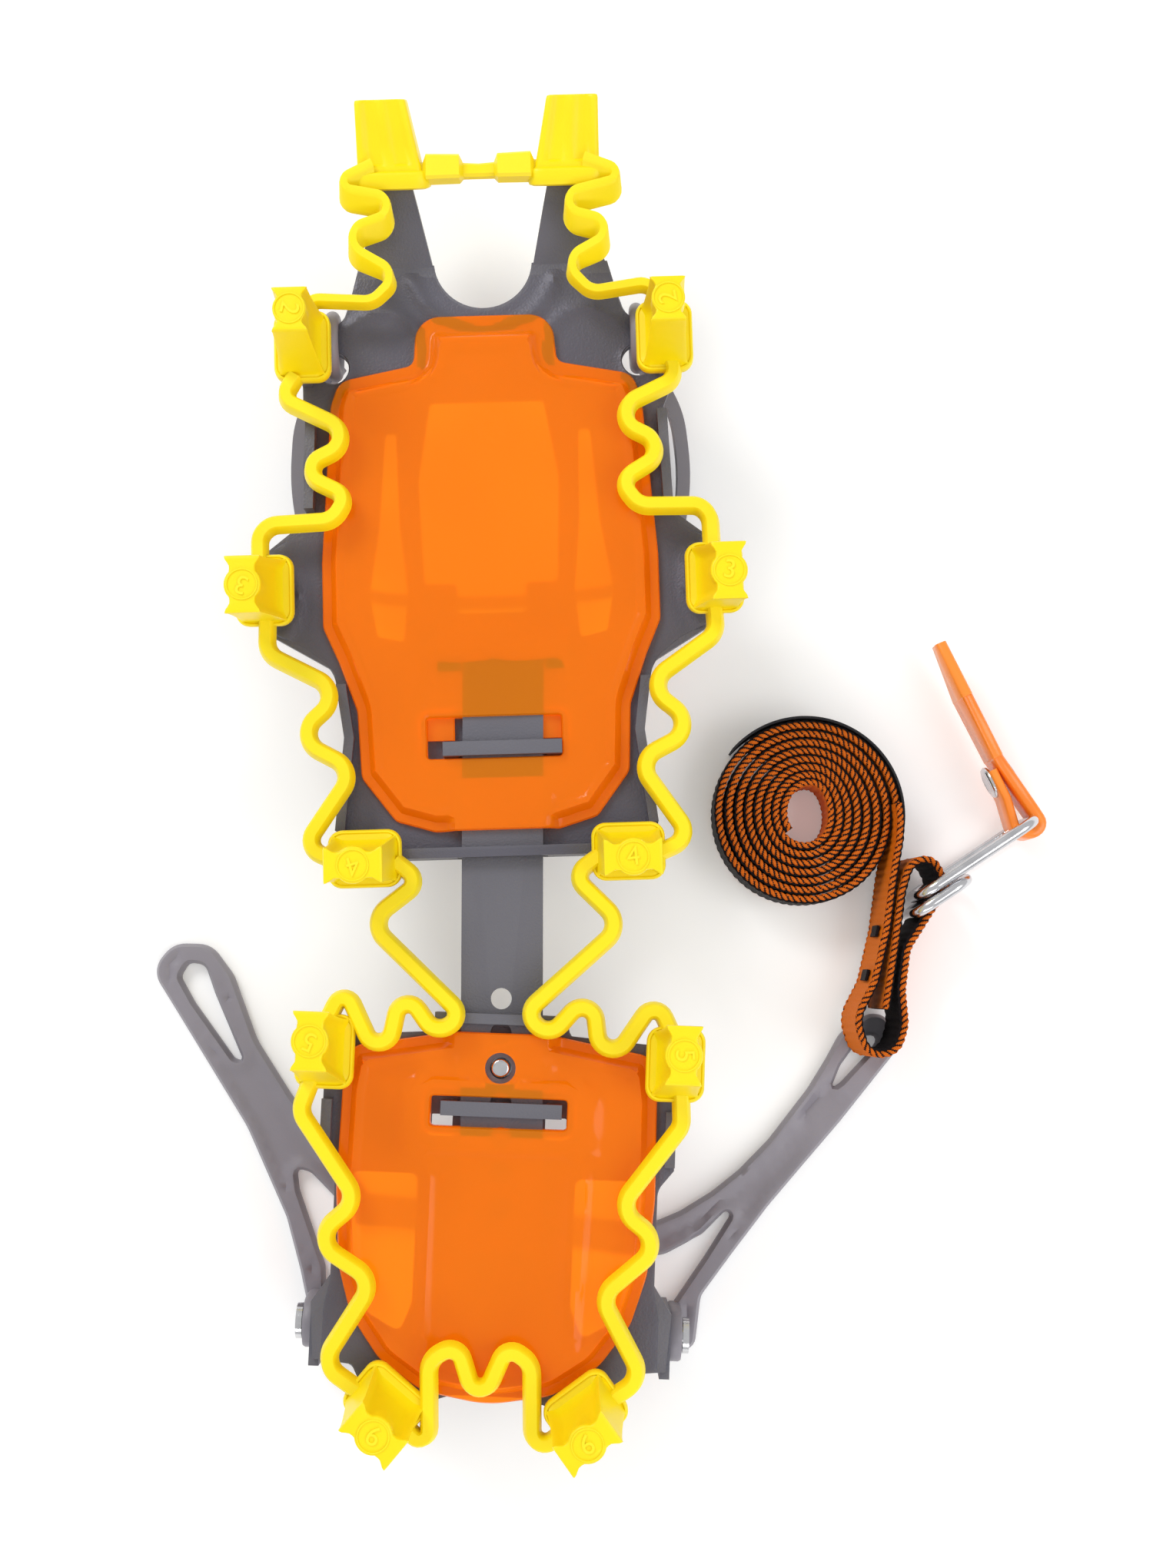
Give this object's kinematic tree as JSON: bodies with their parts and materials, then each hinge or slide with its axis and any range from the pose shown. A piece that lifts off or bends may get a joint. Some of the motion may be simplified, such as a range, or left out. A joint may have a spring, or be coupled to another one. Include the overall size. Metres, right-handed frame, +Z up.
{
  "type": "crampon",
  "caption": "Step-in crampon in two hinged steel halves on a linking bar, with anti-balling plates, toe and heel cradles, rubber point guard and rolled ankle strap.",
  "frame": {"origin": "middle of the whole crampon and its strap, on the surface it lies on", "axes": "+Z up, the way the points stand; +Y from heel to toe; +X to the side that the ankle strap is on"},
  "size_m": [0.2368, 0.3448, 0.0669],
  "materials": {
    "steel_paint": "grey powder coat, fine sparkle, satin",
    "orange_plate": "translucent orange moulding, gloss",
    "grey_moulding": "mid-grey moulded plastic, satin",
    "yellow_rubber": "bright yellow moulded rubber, satin",
    "pin_steel": "bright steel",
    "webbing": "woven webbing, orange with black",
    "bright_wire": "polished wire",
    "orange_tab": "glossy orange moulding"
  },
  "bodies": {
    "front": {"front_frame": "steel_paint", "linking_bar": "steel_paint", "front_plate": "orange_plate", "front_guard": "yellow_rubber", "guard_link_left": "yellow_rubber", "guard_link_right": "yellow_rubber"},
    "toe_bail": {"toe_cradle": "grey_moulding"},
    "heel": {"heel_frame": "steel_paint", "heel_plate": "orange_plate", "heel_guard": "yellow_rubber", "heel_rivet_left": "pin_steel", "heel_rivet_right": "pin_steel"},
    "latch": {"latch_pin": "pin_steel", "latch_lever": "pin_steel"},
    "cradle": {"heel_cradle": "grey_moulding", "strap_coil": "webbing", "strap_lead": "webbing"},
    "rings": {"large_ring": "bright_wire", "small_ring": "bright_wire"},
    "tab": {"pull_tab": "orange_tab", "tab_rivet": "pin_steel"}
  },
  "joints": [
    {"name": "length_adjust", "type": "slide", "parent": "front", "child": "heel", "axis": [0, 1, 0], "range_m": [-0.035, 0.0175], "deforming": ["guard_link_left", "guard_link_right"]},
    {"name": "toe_fold", "type": "hinge", "parent": "front", "child": "toe_bail", "pos_m": [-0.03089, 0.11254, 0.029], "axis": [0.9996, 0.0297, 0], "range_deg": [0, 105]},
    {"name": "latch_pull", "type": "slide", "parent": "heel", "child": "latch", "axis": [0, 0, 1], "range_m": [-0.0046, 0], "stiffness_N_per_m": 1200, "springref_m": 0.0006},
    {"name": "heel_fold", "type": "hinge", "parent": "heel", "child": "cradle", "pos_m": [-0.02849, -0.14705, 0.013], "axis": [0.9993, -0.0384, 0], "range_deg": [-100, 15]},
    {"name": "ring_swing", "type": "hinge", "parent": "cradle", "child": "rings", "pos_m": [0.0842, -0.0342, 0.012], "axis": [0, 0, 1], "range_deg": [-12, 0]},
    {"name": "tab_swing", "type": "hinge", "parent": "rings", "child": "tab", "pos_m": [0.11474, -0.01432, 0.012], "axis": [0, 0, 1], "range_deg": [-35, 18]}
  ]
}
